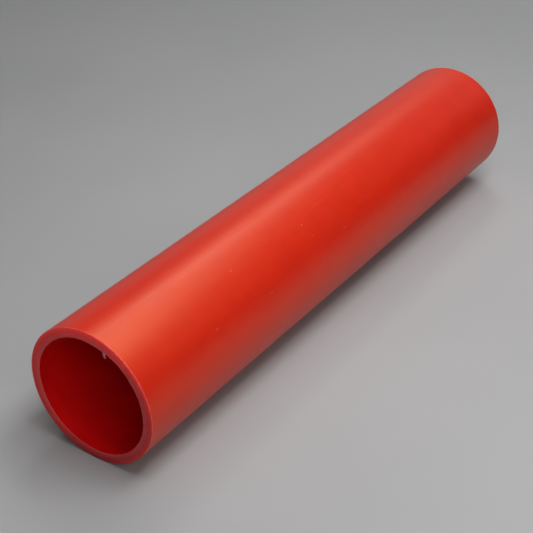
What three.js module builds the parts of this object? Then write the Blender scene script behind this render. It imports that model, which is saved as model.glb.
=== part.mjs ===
// Drawing tube: one length of thick-walled plastic tube, open right through, sawn square and
// deburred at both ends. Rolled drawings are kept in its bore.
//
// Millimetres, +Z up. The tube lies on its side along Y, with its underside on the plane Z = 0.
// The origin is on that plane, under the middle of the tube.
import * as THREE from "three";

// Driving dimensions
const OUTER_DIAMETER = 60;
const LENGTH = 5 * OUTER_DIAMETER;
const WALL = 4.2;
const RIM_CHAMFER = 0.8; // outer edge of each sawn end, at 45 degrees
const BORE_CHAMFER = 0.3; // inner edge of each sawn end, at 45 degrees

// The round walls are made of flat sides. A multiple of 4 puts one flat exactly underneath and one
// at each side, so the overall height and width are the true diameter.
const SIDES = 48;

// Colour and finish of the plastic
const PLASTIC = { color: 0xd23a24, roughness: 0.4, metalness: 0 };

const outerRadius = OUTER_DIAMETER / 2;
const boreRadius = outerRadius - WALL;

// The radius of the corners of a many-sided wall whose flats stand at the given radius.
function cornerRadius(flatRadius) {
  return flatRadius / Math.cos(Math.PI / SIDES);
}

// The section of the wall as [radius, distance along the tube], anticlockwise: up the outside, in over
// one sawn end, back down the bore, and out over the other sawn end.
function wallSection() {
  const end = LENGTH / 2;
  const corners = [
    [outerRadius, -end + RIM_CHAMFER],
    [outerRadius, end - RIM_CHAMFER],
    [outerRadius - RIM_CHAMFER, end],
    [boreRadius + BORE_CHAMFER, end],
    [boreRadius, end - BORE_CHAMFER],
    [boreRadius, -end + BORE_CHAMFER],
    [boreRadius + BORE_CHAMFER, -end],
    [outerRadius - RIM_CHAMFER, -end],
  ];
  const closed = [...corners, corners[0]];
  return closed.map(([radius, along]) => new THREE.Vector2(cornerRadius(radius), along));
}

// LatheGeometry turns its profile about Y, which is already the tube's own axis.
function makeTube() {
  const halfSide = Math.PI / SIDES;
  const geometry = new THREE.LatheGeometry(wallSection(), SIDES, halfSide);
  const tube = new THREE.Mesh(geometry, new THREE.MeshStandardMaterial(PLASTIC));
  tube.name = "tube";
  tube.position.z = outerRadius;
  return tube;
}

const drawingTube = new THREE.Group();
drawingTube.add(makeTube());

export default drawingTube;
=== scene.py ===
import math
import random

import bmesh
import bpy
from mathutils import Matrix, Vector, noise


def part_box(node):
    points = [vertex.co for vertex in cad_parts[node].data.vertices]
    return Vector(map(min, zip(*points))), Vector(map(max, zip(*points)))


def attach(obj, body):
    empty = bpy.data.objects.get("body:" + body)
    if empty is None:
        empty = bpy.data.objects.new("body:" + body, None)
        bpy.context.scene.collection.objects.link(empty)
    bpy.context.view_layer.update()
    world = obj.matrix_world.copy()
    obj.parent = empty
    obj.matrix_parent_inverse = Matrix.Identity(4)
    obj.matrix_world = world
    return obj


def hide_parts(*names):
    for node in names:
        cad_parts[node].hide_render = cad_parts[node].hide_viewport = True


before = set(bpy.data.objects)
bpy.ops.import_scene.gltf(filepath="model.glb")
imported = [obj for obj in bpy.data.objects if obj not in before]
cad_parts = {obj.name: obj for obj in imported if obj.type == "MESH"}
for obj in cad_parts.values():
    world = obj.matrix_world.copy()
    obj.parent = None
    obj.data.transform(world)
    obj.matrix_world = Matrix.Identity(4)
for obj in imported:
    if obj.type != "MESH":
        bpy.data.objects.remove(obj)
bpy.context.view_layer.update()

# The tube, from the CAD part's box
tube_low, tube_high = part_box("tube")
OUTER_RADIUS = (tube_high.z - tube_low.z) / 2
HALF_LENGTH = (tube_high.y - tube_low.y) / 2
AXIS_HEIGHT = tube_low.z + OUTER_RADIUS

MM = 0.001
WALL = 4.2 * MM
BORE_RADIUS = OUTER_RADIUS - WALL

# Each cut end falls away towards the outer wall: (in from the outer wall, back from the end, rounding)
CUT_SHAPE = [
    (0.0, 0.12 * MM, 0.12 * MM),
    (0.7 * MM, 0.05 * MM, 1.2 * MM),
    (1.5 * MM, 0.015 * MM, 3.0 * MM),
    (2.4 * MM, 0.0, 9.0 * MM),
]
CUT_BACK = CUT_SHAPE[0][1]
BORE_CHAMFER = 0.12 * MM  # inner edge of each cut end
BORE_ROUNDING = 0.04 * MM

# How finely the tube is meshed
AROUND = 288
WALL_STEP = 3.0 * MM
FACE_STEP = 0.3 * MM
CORNER_STEPS = 3
CORNER_SUPPORT = 0.05 * MM  # a ring this far from each rounded corner keeps its shading to itself

# Ripple and saw marks never stand out past the tube's own outside, so it keeps its true size
SKIN_RIPPLE = 0.02 * MM
RIPPLE_LENGTH = 45 * MM
MARK_DEPTH = 0.05 * MM
MARK_PITCH = 0.9 * MM
CHATTER_PITCH = 1.2 * MM
MARK_FADE = 0.4 * MM  # the marks die out over this much of the face, towards both of its edges
BURR_REACH = 0.42 * MM  # how far the ragged edge of each cut stands into the bore

# Small nibs on the outer wall: (degrees from the top towards +X, distance along the tube)
NIBS = [
    (37.1, -29.9 * MM),
    (31.4, -78.8 * MM),
    (66.0, -66.1 * MM),
    (60.7, -103.2 * MM),
    (60.8, -6.0 * MM),
]
SCATTERED_NIBS = 9
SCATTER_SEED = 7
NIB_ACROSS = 0.25 * MM
NIB_ALONG = 0.5 * MM
NIB_HEIGHT = 0.13 * MM
NIB_MARGIN = 0.05 * MM  # plain wall left at each end of a nib, in the quad that it stands on
NIB_LEVELS = ((1, 0), (0.72, 0.55), (0.38, 0.9))  # of the dome: (share of width, share of height)

# The curl of swarf that hangs from the edge of the near mouth
WHISKER_ANGLE = 20.4  # degrees from the top towards +X
WHISKER_COLUMNS = 3
WHISKER_STEPS = 16
WHISKER_LENGTH = 2.4 * MM
WHISKER_LEAN = -8.0  # degrees from straight down, towards +X
WHISKER_HOOK = 95.0  # how far it has turned towards +X at its end
WHISKER_STRAIGHT = 0.35  # share of its length before it starts to curl
SMEAR_RADIUS = 1.0 * MM  # the pink smear on the face above it

SKIN, BORE, CUT, NIB, CURL = range(5)  # material slots of the tube's mesh


# ---------------------------------------------------------------- tube mesh


def rounded_corner(before, corner, after, radius):
    """Points along the arc that rounds a corner of the wall's section."""
    back, ahead = (before - corner).normalized(), (after - corner).normalized()
    half_angle = back.angle(ahead) / 2
    inset = radius / math.tan(half_angle)
    centre = corner + (back + ahead).normalized() * (radius / math.sin(half_angle))
    first, last = corner + back * inset - centre, corner + ahead * inset - centre
    turn = first.angle_signed(last)
    points = []
    for step in range(CORNER_STEPS + 1):
        angle = turn * step / CORNER_STEPS
        # angle_signed is clockwise in 2-D
        cosine, sine = math.cos(-angle), math.sin(-angle)
        turned = Vector((first.x * cosine - first.y * sine, first.x * sine + first.y * cosine))
        points.append(centre + turned)
    return points


def straight_run(start, end, step):
    """Points between two ends of a straight stretch of the section, without the ends themselves."""
    length = (end - start).length
    inner = [CORNER_SUPPORT, length - CORNER_SUPPORT]
    spans = max(1, round((inner[1] - inner[0]) / step))
    places = [inner[0] + (inner[1] - inner[0]) * i / spans for i in range(spans + 1)]
    return [start.lerp(end, place / length) for place in places]


def wall_section():
    """The wall's section once round: (radius, distance along the tube, material that follows)."""
    # one end, from the outer wall to the bore: (radius, distance from the end, rounding)
    half = [(OUTER_RADIUS - depth, back, rounding) for depth, back, rounding in CUT_SHAPE]
    half.append((BORE_RADIUS + BORE_CHAMFER, 0, BORE_ROUNDING))
    half.append((BORE_RADIUS, BORE_CHAMFER, BORE_ROUNDING))
    # both ends: (radius, along, rounding, then the mesh step and the material of what follows)
    corners = [(radius, HALF_LENGTH - back, curve, FACE_STEP, CUT) for radius, back, curve in half]
    corners += [(radius, -along, *rest) for radius, along, *rest in reversed(corners)]
    # the two long stretches, which are not part of a cut end
    for i, material in ((len(half) - 1, BORE), (len(corners) - 1, SKIN)):
        corners[i] = (*corners[i][:3], WALL_STEP, material)
    count = len(corners)
    points = [Vector(corner[:2]) for corner in corners]
    arcs = [
        rounded_corner(points[i - 1], points[i], points[(i + 1) % count], corners[i][2])
        for i in range(count)
    ]
    stations = []
    for i, (_, _, _, step, material) in enumerate(corners):
        run = straight_run(arcs[i][-1], arcs[(i + 1) % count][0], step)
        stations += [(point.x, point.y, material) for point in arcs[i] + run]
    return stations


def on_tube(radius, along, angle):
    """The point at an angle about the tube's axis, 0 on top and a quarter turn at +X."""
    return Vector((radius * math.sin(angle), along, AXIS_HEIGHT + radius * math.cos(angle)))


def unevenness(around, lumps, offset=0.0):
    """Smooth noise from -1 to 1, with about this many lumps to each radian round the tube."""
    return noise.noise(around * lumps + Vector((0, offset, 0)))


def relief(radius, along, angle):
    """(change of radius, change along the tube) that makes walls and cut ends a little uneven."""
    around = Vector((math.sin(angle), 0, math.cos(angle)))
    from_end = HALF_LENGTH - abs(along)
    side = math.copysign(1, along)
    ripple = unevenness(around, 3, along / RIPPLE_LENGTH)
    out = -SKIN_RIPPLE * (0.5 + 0.5 * ripple)
    if radius < BORE_RADIUS + BORE_CHAMFER and from_end < 2 * BORE_CHAMFER:
        # the offsets give each end a burr of its own
        ragged = unevenness(around, 19, side * 5)
        patches = unevenness(around, 2.3, side * 9)
        stands_in = max(0, 0.4 + 0.6 * ragged + patches)
        out -= BURR_REACH * stands_in * (1 - from_end / (2 * BORE_CHAMFER))
    # the saw's marks fade out towards both edges of the cut face
    into_face = min(radius - BORE_RADIUS - BORE_CHAMFER, OUTER_RADIUS - MARK_FADE - radius)
    fade = min(max(into_face / MARK_FADE, 0), 1) if from_end < CUT_BACK else 0
    rings = math.sin(radius / MARK_PITCH * 2 * math.pi + 2 * unevenness(around, 2))
    chatter = unevenness(around, 9, radius / CHATTER_PITCH)
    depth = MARK_DEPTH * fade * (0.5 + 0.3 * rings + 0.2 * chatter)
    return out, -side * depth


def add_rings(mesh, stations):
    """The closed wall, as rings of corners joined by quads. Gives back quads[station][column]."""
    rings = []
    for radius, along, _ in stations:
        ring = []
        for i in range(AROUND):
            angle = 2 * math.pi * i / AROUND
            out, forth = relief(radius, along, angle)
            ring.append(mesh.verts.new(on_tube(radius + out, along + forth, angle)))
        rings.append(ring)
    quads = []
    for i, ring in enumerate(rings):
        following = rings[(i + 1) % len(rings)]
        band = []
        for j in range(AROUND):
            k = (j + 1) % AROUND
            face = mesh.faces.new((ring[j], following[j], following[k], ring[k]))
            face.material_index = stations[i][2]
            band.append(face)
        quads.append(band)
    return quads


def column_at(degrees):
    """Which column of quads lies at an angle from the top towards +X."""
    return math.floor(math.radians(degrees % 360) / (2 * math.pi) * AROUND)


def add_nib(mesh, quad, along, size):
    """Turns one quad of the outer wall into a low pale dome with flat wall round it."""
    corners = list(quad.verts)
    low = min(corner.co.y for corner in corners) + NIB_ALONG + NIB_MARGIN
    high = max(corner.co.y for corner in corners) - NIB_ALONG - NIB_MARGIN
    middle = quad.calc_center_median()
    out = Vector((middle.x, 0, middle.z - AXIS_HEIGHT)).normalized()
    across = Vector((out.z, 0, -out.x))
    lengthwise = Vector((0, 1, 0))
    # the octagon starts half-way between two corners of the quad and turns the same way as the quad
    towards = [(corners[i].co + corners[i + 1].co) / 2 - middle for i in range(2)]
    first, second = [Vector((way.dot(across), way.dot(lengthwise))) for way in towards]
    start = math.atan2(first.y, first.x)
    turn = math.copysign(math.pi / 4, first.cross(second))
    centre = Vector((middle.x, min(max(along, low), high), middle.z))
    levels = []
    for share, rise in NIB_LEVELS:
        level = []
        for i in range(8):
            angle = start + turn * i
            outline = across * (NIB_ACROSS * math.cos(angle))
            outline += lengthwise * (NIB_ALONG * math.sin(angle))
            place = outline * share + out * (NIB_HEIGHT * rise)
            level.append(mesh.verts.new(centre + place * size))
        levels.append(level)
    top = mesh.verts.new(centre + out * (NIB_HEIGHT * size))
    foot = levels[0]
    for side in range(4):
        near_foot = (foot[2 * side + 1], foot[2 * side], foot[(2 * side - 1) % 8])
        mesh.faces.new((corners[side], corners[(side + 1) % 4], *near_foot)).material_index = SKIN
    dome = []
    for outer, inner in zip(levels, levels[1:]):
        for i in range(8):
            k = (i + 1) % 8
            dome.append(mesh.faces.new((outer[i], outer[k], inner[k], inner[i])))
    for i in range(8):
        dome.append(mesh.faces.new((levels[-1][i], levels[-1][(i + 1) % 8], top)))
    for face in dome:
        face.material_index = NIB
    mesh.faces.remove(quad)


def add_nibs(mesh, quads, stations):
    """The nibs at set places, and a few fainter ones scattered over the outer wall."""
    chance = random.Random(SCATTER_SEED)
    places = [(degrees, along, 1.0) for degrees, along in NIBS]
    for _ in range(SCATTERED_NIBS):
        # clear of the four lines where the tube touches its own box
        degrees = 90 * chance.randrange(4) + chance.uniform(14, 76)
        along = chance.uniform(-0.9, 0.9) * HALF_LENGTH
        places.append((degrees, along, chance.uniform(0.3, 0.6)))
    for degrees, along, size in places:
        for i, (_, start, material) in enumerate(stations):
            low, high = sorted((start, stations[(i + 1) % len(stations)][1]))
            if material == SKIN and low <= along <= high and high - low > WALL_STEP / 2:
                quad = quads[i][column_at(degrees)]
                if quad.is_valid:
                    add_nib(mesh, quad, along, size)
                break


def add_whisker(mesh, quads, stations):
    """Draws a few quads of the near mouth's inner chamfer out into a curl that hangs in the bore."""
    bands = []
    for i, (radius, along, _) in enumerate(stations):
        if BORE_RADIUS < radius < BORE_RADIUS + BORE_CHAMFER and along < -HALF_LENGTH + BORE_CHAMFER:
            bands.append(i)
    first = column_at(WHISKER_ANGLE) - WHISKER_COLUMNS // 2
    faces = [quads[i][first + column] for i in bands[1:-1] for column in range(WHISKER_COLUMNS)]
    place = sum((face.calc_center_median() for face in faces), Vector()) / len(faces)
    heading, share = 0.0, 1.0
    for step in range(1, WHISKER_STEPS + 1):
        t = step / WHISKER_STEPS
        made = bmesh.ops.extrude_face_region(mesh, geom=faces)["geom"]
        bmesh.ops.delete(mesh, geom=faces, context="FACES")
        faces = [item for item in made if isinstance(item, bmesh.types.BMFace)]
        corners = [item for item in made if isinstance(item, bmesh.types.BMVert)]
        bend = max(0, t - WHISKER_STRAIGHT) / (1 - WHISKER_STRAIGHT)
        new_heading = math.radians(WHISKER_LEAN + (WHISKER_HOOK - WHISKER_LEAN) * bend**1.5)
        # wide at its root, even along its length, and rounded off at its tip
        new_share = 0.7 + 0.3 * (1 - t) ** 5 - 0.25 * t**9
        turn = Matrix.Rotation(heading - new_heading, 3, "Y") * (new_share / share)
        ahead = Vector((math.sin(new_heading), 0, -math.cos(new_heading)))
        new_place = place + ahead * (WHISKER_LENGTH / WHISKER_STEPS)
        for corner in corners:
            corner.co = new_place + turn @ (corner.co - place)
            for face in corner.link_faces:
                face.material_index = CURL
        place, heading, share = new_place, new_heading, new_share


def make_tube_mesh():
    """The whole tube as one closed mesh."""
    mesh = bmesh.new()
    stations = wall_section()
    quads = add_rings(mesh, stations)
    add_nibs(mesh, quads, stations)
    add_whisker(mesh, quads, stations)
    bmesh.ops.recalc_face_normals(mesh, faces=mesh.faces)
    for face in mesh.faces:
        face.smooth = True
    return mesh


def make_tube():
    """The tube with its materials, in the place of the CAD's plain one."""
    mesh = make_tube_mesh()
    data = bpy.data.meshes.new("red_tube")
    mesh.to_mesh(data)
    mesh.free()
    data.materials.append(skin_material())
    data.materials.append(bore_material())
    data.materials.append(cut_material())
    data.materials.append(pale_material("nib_red_plastic", NIB_RED, BRIGHT_RED))
    # the curl's pale colour is partly stress-whitening and partly painted light
    data.materials.append(pale_material("whitened_and_lit_red_plastic", WHITENED_AND_LIT, CUT_PALE))
    tube = bpy.data.objects.new("red_tube", data)
    bpy.context.scene.collection.objects.link(tube)
    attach(tube, "root")
    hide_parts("tube")


# ---------------------------------------------------------------- materials


def new_material(name):
    """A node material with only a Principled shader, and its tree and shader."""
    material = bpy.data.materials.new(name)
    material.use_nodes = True
    return material, material.node_tree, material.node_tree.nodes["Principled BSDF"]


def feed(tree, socket, value):
    """Links a socket to a socket, or sets it to a plain value."""
    if isinstance(value, bpy.types.NodeSocket):
        tree.links.new(value, socket)
    else:
        socket.default_value = value


def calculate(tree, operation, first, second=0.0):
    """One step of arithmetic on sockets or plain values."""
    node = tree.nodes.new("ShaderNodeMath")
    node.operation = operation
    feed(tree, node.inputs[0], first)
    feed(tree, node.inputs[1], second)
    return node.outputs[0]


def total(tree, *values):
    """The sum of any number of values."""
    result = values[0]
    for value in values[1:]:
        result = calculate(tree, "ADD", result, value)
    return result


def combine(tree, x, y, z):
    """A vector from three values."""
    node = tree.nodes.new("ShaderNodeCombineXYZ")
    for socket, value in zip(node.inputs, (x, y, z)):
        feed(tree, socket, value)
    return node.outputs[0]


def noise_at(tree, place, scale, detail=2.0):
    """Noise from 0 to 1, mostly near 0.5, whose lumps are about 1 / scale apart."""
    node = tree.nodes.new("ShaderNodeTexNoise")
    feed(tree, node.inputs["Vector"], place)
    node.inputs["Scale"].default_value = scale
    node.inputs["Detail"].default_value = detail
    return node.outputs["Fac"]


def between(tree, value, low, high, to_low=0.0, to_high=1.0):
    """Maps low..high onto to_low..to_high, smoothly and without going past either end."""
    node = tree.nodes.new("ShaderNodeMapRange")
    node.interpolation_type = "SMOOTHSTEP"
    feed(tree, node.inputs["Value"], value)
    node.inputs["From Min"].default_value = low
    node.inputs["From Max"].default_value = high
    node.inputs["To Min"].default_value = to_low
    node.inputs["To Max"].default_value = to_high
    return node.outputs["Result"]


def mix_colours(tree, share, first, second):
    """The first colour where the share is 0, the second where it is 1."""
    node = tree.nodes.new("ShaderNodeMix")
    node.data_type = "RGBA"
    feed(tree, node.inputs["Factor"], share)
    feed(tree, node.inputs["A"], (*first, 1) if isinstance(first, tuple) else first)
    feed(tree, node.inputs["B"], (*second, 1) if isinstance(second, tuple) else second)
    return node.outputs["Result"]


def bump(tree, shader, height_in_mm):
    """Fine relief on a shader's normal."""
    node = tree.nodes.new("ShaderNodeBump")
    node.inputs["Distance"].default_value = MM
    feed(tree, node.inputs["Height"], height_in_mm)
    tree.links.new(node.outputs["Normal"], shader.inputs["Normal"])


def tube_place(tree):
    """Object coordinates as (place, radius, sine, cosine, along), the angle about the tube's axis."""
    place = tree.nodes.new("ShaderNodeTexCoord").outputs["Object"]
    split = tree.nodes.new("ShaderNodeSeparateXYZ")
    tree.links.new(place, split.inputs[0])
    sideways, along = split.outputs["X"], split.outputs["Y"]
    upwards = calculate(tree, "SUBTRACT", split.outputs["Z"], AXIS_HEIGHT)
    squares = [calculate(tree, "POWER", part, 2) for part in (sideways, upwards)]
    radius = calculate(tree, "SQRT", calculate(tree, "ADD", *squares))
    sine = calculate(tree, "DIVIDE", sideways, radius)
    cosine = calculate(tree, "DIVIDE", upwards, radius)
    return place, radius, sine, cosine, along


def draw_lines_at(tree, sine, cosine, along, scale):
    """Noise drawn out along the tube, as extrusion leaves it."""
    stretched = combine(tree, sine, cosine, calculate(tree, "MULTIPLY", along, LINE_STRETCH))
    return noise_at(tree, stretched, scale, 4)


# One plastic throughout: its two close reds, what it turns to where it is cut or stressed, and the
# painted shade, glow and highlight on and near its cut ends
DEEP_RED = (0.625, 0.0088, 0.0004)
BRIGHT_RED = (0.655, 0.0112, 0.0004)
BORE_RED = (0.80, 0.003, 0.003)
BORE_DEEP_RED = (0.71, 0.002, 0.004)
# pale wear at the cut edges, partly a painted highlight where the edges catch the light
WEAR_AND_HIGHLIGHT_RED = (0.90, 0.16, 0.15)
# painted glow along the outer edge of the cut
EDGE_GLOW_RED = (0.97, 0.036, 0.026)
# painted shade on the outer edge of the cut, on its lower right side
EDGE_SHADED = (0.59, 0.030, 0.030)
CUT_RED = (0.88, 0.032, 0.031)
# painted shade on the lower right side of the cut
CUT_SHADED = (0.50, 0.023, 0.028)
CUT_PALE = (0.88, 0.11, 0.115)
SMEARED = (0.80, 0.09, 0.16)
# stress-whitened swarf, brightened further as painted light that the curl catches
WHITENED_AND_LIT = (1.0, 0.29, 0.35)
NIB_RED = (0.90, 0.17, 0.10)
SPECULAR_TINT = (1.0, 0.54, 0.27, 1)
SKIN_IOR = 1.55
SOAK_DEPTH = (8.0 * MM, 0.5 * MM, 0.4 * MM)  # how far red, green and blue light soaks in
LINE_STRETCH = 0.8  # lengthwise scale of the draw lines: across the tube they are far finer
SHADED_SIDE = (0.64, -0.77)  # the way (towards +X, up) to the side of the cut painted in shade

FLOOR_GREY = (0.385, 0.387, 0.392)
FLOOR_PALE = (0.402, 0.402, 0.406)


def skin_material():
    """Satin extruded skin: faint mottle, draw lines, fine grain, and a pale band at the ends, partly
    wear and partly painted highlight.
    """
    material, tree, shader = new_material("satin_red_plastic")
    place, _, sine, cosine, along = tube_place(tree)

    mottle = noise_at(tree, place, 110, 4)
    colour = mix_colours(tree, between(tree, mottle, 0.3, 0.7), DEEP_RED, BRIGHT_RED)

    from_end = calculate(tree, "SUBTRACT", HALF_LENGTH - CUT_BACK, calculate(tree, "ABSOLUTE", along))
    # the pale band at each end is partly wear and partly a painted highlight where the corner catches
    # the light
    near_corner = between(tree, from_end, 0.05 * MM, 0.45 * MM, 1.0, 0.0)
    ragged = between(tree, noise_at(tree, place, 700, 3), 0.3, 0.6, 0.2, 1.0)
    wear_and_highlight = calculate(tree, "MULTIPLY", near_corner, ragged)
    colour = mix_colours(tree, calculate(tree, "MULTIPLY", wear_and_highlight, 0.8), colour, WEAR_AND_HIGHLIGHT_RED)
    tree.links.new(colour, shader.inputs["Base Color"])

    draw_lines = draw_lines_at(tree, sine, cosine, along, 55)
    roughness = between(tree, draw_lines, 0.3, 0.7, 0.38, 0.43)
    smear = between(tree, noise_at(tree, place, 90, 4), 0.35, 0.65, -0.005, 0.015)
    dulled = calculate(tree, "MULTIPLY", wear_and_highlight, 0.12)
    tree.links.new(total(tree, roughness, smear, dulled), shader.inputs["Roughness"])

    grain = calculate(tree, "MULTIPLY", noise_at(tree, place, 2400, 2), 0.006)
    peel = calculate(tree, "MULTIPLY", noise_at(tree, place, 330, 2), 0.010)
    ridges = calculate(tree, "MULTIPLY", draw_lines, 0.012)
    bump(tree, shader, total(tree, grain, peel, ridges))
    shader.inputs["IOR"].default_value = SKIN_IOR
    shader.inputs["Specular IOR Level"].default_value = 1.0
    shader.inputs["Specular Tint"].default_value = SPECULAR_TINT
    return material


def bore_material():
    """The inside of the tube: the same plastic, never handled, with a duller skin than the outside."""
    material, tree, shader = new_material("bore_red_plastic")
    place, _, sine, cosine, along = tube_place(tree)
    mottle = noise_at(tree, place, 60, 3)
    colour = mix_colours(tree, between(tree, mottle, 0.3, 0.7), BORE_DEEP_RED, BORE_RED)
    tree.links.new(colour, shader.inputs["Base Color"])
    draw_lines = draw_lines_at(tree, sine, cosine, along, 45)
    tree.links.new(between(tree, draw_lines, 0.3, 0.7, 0.5, 0.6), shader.inputs["Roughness"])
    ridges = calculate(tree, "MULTIPLY", draw_lines, 0.02)
    grain = calculate(tree, "MULTIPLY", noise_at(tree, place, 1500, 2), 0.008)
    bump(tree, shader, total(tree, ridges, grain))
    shader.inputs["Specular IOR Level"].default_value = 0.12
    return material


def cut_material():
    """Sawn plastic: duller than the skin, with marks round the tube, a stipple, painted shade on one
    side and a glowing edge, partly light soaking in and partly painted glow.
    """
    material, tree, shader = new_material("cut_red_plastic")
    place, radius, sine, cosine, _ = tube_place(tree)
    radius_in_mm = calculate(tree, "DIVIDE", radius, MM)
    around = [calculate(tree, "MULTIPLY", part, 5) for part in (sine, cosine)]
    marks = noise_at(tree, combine(tree, radius_in_mm, *around), 3.2, 3)
    stipple = noise_at(tree, place, 2300, 3)
    crumbs = noise_at(tree, place, 900, 3)

    # painted shade: the cut is darker towards its lower right, where less light falls
    shade = shaded_side(tree, sine, cosine)
    pale = paleness(tree, place, radius, shade, marks, stipple, crumbs)
    colour = mix_colours(tree, pale, mix_colours(tree, shade, CUT_RED, CUT_SHADED), CUT_PALE)
    colour = outer_edge_colour(tree, colour, radius, cosine, shade, crumbs)
    colour = mix_colours(tree, whisker_smear(tree, place, crumbs), colour, SMEARED)
    tree.links.new(colour, shader.inputs["Base Color"])

    tree.links.new(between(tree, stipple, 0.3, 0.7, 0.55, 0.72), shader.inputs["Roughness"])
    grooves = calculate(tree, "MULTIPLY", marks, 0.03)
    grit = calculate(tree, "MULTIPLY", stipple, 0.02)
    bump(tree, shader, total(tree, grooves, grit))
    shader.inputs["Specular IOR Level"].default_value = 0.4
    # red light soaks through the plastic from the wall, so that the cut glows along its outer edge
    shader.inputs["Subsurface Weight"].default_value = 1.0
    shader.inputs["Subsurface Radius"].default_value = SOAK_DEPTH
    shader.inputs["Subsurface Scale"].default_value = 1.0
    return material


def shaded_side(tree, sine, cosine):
    """How much painted shade the cut gets, from 0 to 1 round the tube, most towards its lower right.
    """
    towards_x = calculate(tree, "MULTIPLY", sine, SHADED_SIDE[0])
    upwards = calculate(tree, "MULTIPLY", cosine, SHADED_SIDE[1])
    return between(tree, total(tree, towards_x, upwards), -1.0, 1.0)


def paleness(tree, place, radius, shade, marks, stipple, crumbs):
    """How pale the cut is: along its marks and pits, and towards the bore."""
    scratches = between(tree, marks, 0.4, 0.7, 0.0, 0.3)
    pits = between(tree, stipple, 0.45, 0.7, 0.0, 0.3)
    patches = between(tree, noise_at(tree, place, 130, 3), 0.3, 0.65, 0.4, 1.3)
    scratched = calculate(tree, "MULTIPLY", total(tree, scratches, pits), patches)
    inner_half = between(tree, radius, BORE_RADIUS + 0.8 * MM, BORE_RADIUS + 2.6 * MM, 0.4, 0.0)
    bore_edge = between(tree, radius, BORE_RADIUS - 0.1 * MM, BORE_RADIUS + 0.6 * MM, 0.8, 0.0)
    fringe = calculate(tree, "MULTIPLY", bore_edge, between(tree, crumbs, 0.35, 0.6))
    pale = calculate(tree, "MINIMUM", total(tree, scratched, inner_half, fringe), 1.0)
    # less pale on the side painted in shade
    return calculate(tree, "MULTIPLY", pale, between(tree, shade, 0.3, 1.0, 1.0, 0.6))


def outer_edge_colour(tree, colour, radius, cosine, shade, crumbs):
    """The cut's colour with a painted glow along its outer edge, painted shade on one side, and a pale
    rim that is partly scuff and partly painted highlight, most of all on top.
    """
    # painted glow: the cut turns brighter red towards its outer edge, adding to the light that soaks
    # through
    edge_glow = between(tree, radius, OUTER_RADIUS - 2.2 * MM, OUTER_RADIUS - 0.7 * MM)
    colour = mix_colours(tree, edge_glow, colour, mix_colours(tree, shade, EDGE_GLOW_RED, EDGE_SHADED))
    scuffed_and_lit = between(tree, radius, OUTER_RADIUS - 2.0 * MM, OUTER_RADIUS - 0.6 * MM, 0.0, 0.3)
    rim = between(tree, radius, OUTER_RADIUS - 0.5 * MM, OUTER_RADIUS - 0.1 * MM, 0.0, 0.8)
    # painted highlight: the rim is paler on top, where the light from above falls on it
    top_highlight = between(tree, cosine, -0.3, 0.8, 0.15, 1.0)
    scuff_and_highlight = calculate(tree, "MULTIPLY", total(tree, scuffed_and_lit, rim), top_highlight)
    scuff_and_highlight = calculate(tree, "MULTIPLY", scuff_and_highlight, between(tree, crumbs, 0.3, 0.55, 0.4, 0.9))
    return mix_colours(tree, scuff_and_highlight, colour, WEAR_AND_HIGHLIGHT_RED)


def whisker_smear(tree, place, crumbs):
    """How far the near face is smeared pink, just above the root of the curl of swarf."""
    angle = math.radians(WHISKER_ANGLE)
    centre = on_tube(BORE_RADIUS + SMEAR_RADIUS, -HALF_LENGTH, angle)
    node = tree.nodes.new("ShaderNodeVectorMath")
    node.operation = "DISTANCE"
    tree.links.new(place, node.inputs[0])
    node.inputs[1].default_value = centre
    near = between(tree, node.outputs["Value"], 0.5 * SMEAR_RADIUS, 1.4 * SMEAR_RADIUS, 0.9, 0.0)
    return calculate(tree, "MULTIPLY", near, between(tree, crumbs, 0.3, 0.5, 0.4, 1.0))


def pale_material(name, light, dark):
    """Plastic paled by stress, in the nibs and the curl of swarf; the curl's colour is also brightened
    as painted light.
    """
    material, tree, shader = new_material(name)
    place = tree.nodes.new("ShaderNodeTexCoord").outputs["Object"]
    cloud = noise_at(tree, place, 1500, 3)
    colour = mix_colours(tree, between(tree, cloud, 0.3, 0.7), dark, light)
    tree.links.new(colour, shader.inputs["Base Color"])
    tree.links.new(between(tree, cloud, 0.3, 0.7, 0.45, 0.65), shader.inputs["Roughness"])
    bump(tree, shader, calculate(tree, "MULTIPLY", noise_at(tree, place, 5000, 2), 0.01))
    return material


def floor_material():
    """Plain grey paper: a very faint mottle and tooth."""
    material, tree, shader = new_material("grey_floor")
    place = tree.nodes.new("ShaderNodeTexCoord").outputs["Object"]
    cloud = noise_at(tree, place, 9, 4)
    colour = mix_colours(tree, between(tree, cloud, 0.3, 0.7), FLOOR_GREY, FLOOR_PALE)
    tree.links.new(colour, shader.inputs["Base Color"])
    shader.inputs["Roughness"].default_value = 0.75
    shader.inputs["Specular IOR Level"].default_value = 0.25
    bump(tree, shader, calculate(tree, "MULTIPLY", noise_at(tree, place, 1200, 3), 0.02))
    return material


# ---------------------------------------------------------------- stage

FLOOR_SIZE = 8.0

CAMERA_AZIMUTH = math.radians(34.0)
CAMERA_ELEVATION = math.radians(31.7)
CAMERA_DISTANCE = 0.549
LENS_MM = 83.2
SENSOR_MM = 36
AIM = Vector((2.8 * MM, -34.1 * MM, AXIS_HEIGHT))  # what the camera looks straight at


def make_floor():
    """A plain square floor under the tube."""
    data = bpy.data.meshes.new("floor")
    half = FLOOR_SIZE / 2
    corners = [(-half, -half, 0), (half, -half, 0), (half, half, 0), (-half, half, 0)]
    data.from_pydata(corners, [], [(0, 1, 2, 3)])
    data.materials.append(floor_material())
    floor = bpy.data.objects.new("floor", data)
    bpy.context.scene.collection.objects.link(floor)


def direction(azimuth, elevation):
    """From the object towards a place at that azimuth, 0 at -Y and a quarter turn at +X."""
    level = math.cos(elevation)
    return Vector((math.sin(azimuth) * level, -math.cos(azimuth) * level, math.sin(elevation)))


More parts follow.
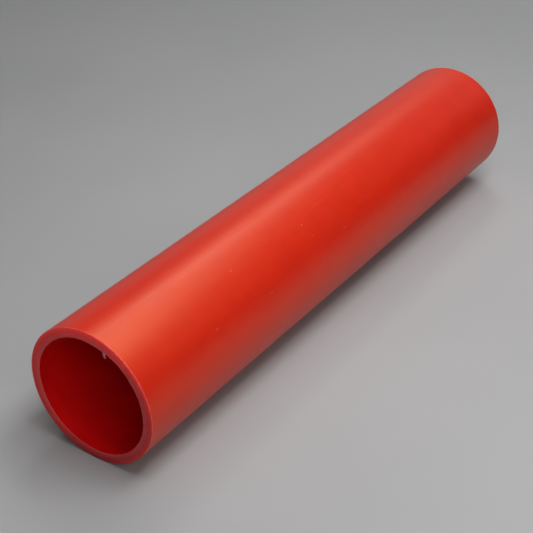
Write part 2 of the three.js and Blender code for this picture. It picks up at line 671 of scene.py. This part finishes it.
def make_camera():
    """The camera, looking at the near mouth and along the tube from above."""
    camera = bpy.data.objects.new("camera", bpy.data.cameras.new("camera"))
    bpy.context.scene.collection.objects.link(camera)
    camera.data.lens = LENS_MM
    camera.data.sensor_width = SENSOR_MM
    back = direction(CAMERA_AZIMUTH, CAMERA_ELEVATION)
    camera.location = AIM + back * CAMERA_DISTANCE
    camera.rotation_mode = "QUATERNION"
    camera.rotation_quaternion = (-back).to_track_quat("-Z", "Y")
    bpy.context.scene.camera = camera


# Lamps that hang level over the set: name, place, (size along X, size along Y), watts
HANGING_LAMPS = [
    ("overhead_softbox", (0.205, -0.034, 0.6), (0.25, 0.42), 2.62),
    ("highlight_softbox", (0.0, 0.221, 0.6), (0.22, 0.22), 0.56),
    ("near_softbox", (0.09, -0.148, 0.6), (0.4, 0.36), 0.41),
    ("back_softbox", (-0.658, 1.209, 1.5), (0.38, 1.0), 7.8),
]
# Lamps that face the tube: name, (azimuth, elevation), distance, (width, height), watts
FILL_LAMPS = [
    ("front_fill", (45, 35), 0.98, (0.6, 0.4), 1.9),
    ("side_fill", (105, 35), 0.98, (0.8, 0.4), 0.55),
    ("rear_fill", (180, 11), 1.0, (0.5, 0.36), 0.69),
    ("left_fill", (225, 11), 1.0, (0.9, 0.36), 0.5),
]
WORLD_STRENGTH = 0.01


def make_softbox(name, place, facing, size, power):
    """A rectangular lamp at a place, shining in a direction."""
    light = bpy.data.lights.new(name, "AREA")
    light.shape = "RECTANGLE"
    light.size, light.size_y = size
    light.energy = power
    lamp = bpy.data.objects.new(name, light)
    bpy.context.scene.collection.objects.link(lamp)
    lamp.location = place
    lamp.rotation_mode = "QUATERNION"
    lamp.rotation_quaternion = facing.to_track_quat("-Z", "Y")


def make_world():
    """A very dim white world: nearly all light comes from the lamps."""
    world = bpy.data.worlds.new("studio")
    world.use_nodes = True
    background = world.node_tree.nodes["Background"]
    background.inputs["Color"].default_value = (1, 1, 1, 1)
    background.inputs["Strength"].default_value = WORLD_STRENGTH
    bpy.context.scene.world = world


def make_lights():
    """All the lamps."""
    down = Vector((0, 0, -1))
    for name, place, size, power in HANGING_LAMPS:
        make_softbox(name, Vector(place), down, size, power)
    middle = Vector((0, 0, AXIS_HEIGHT))
    for name, (azimuth, elevation), distance, size, power in FILL_LAMPS:
        away = direction(math.radians(azimuth), math.radians(elevation))
        make_softbox(name, middle + away * distance, -away, size, power)


def make_scene():
    """The tube on its floor, the camera and the light."""
    make_tube()
    make_floor()
    make_camera()
    make_world()
    make_lights()
    bpy.context.scene.view_settings.view_transform = "Standard"


make_scene()
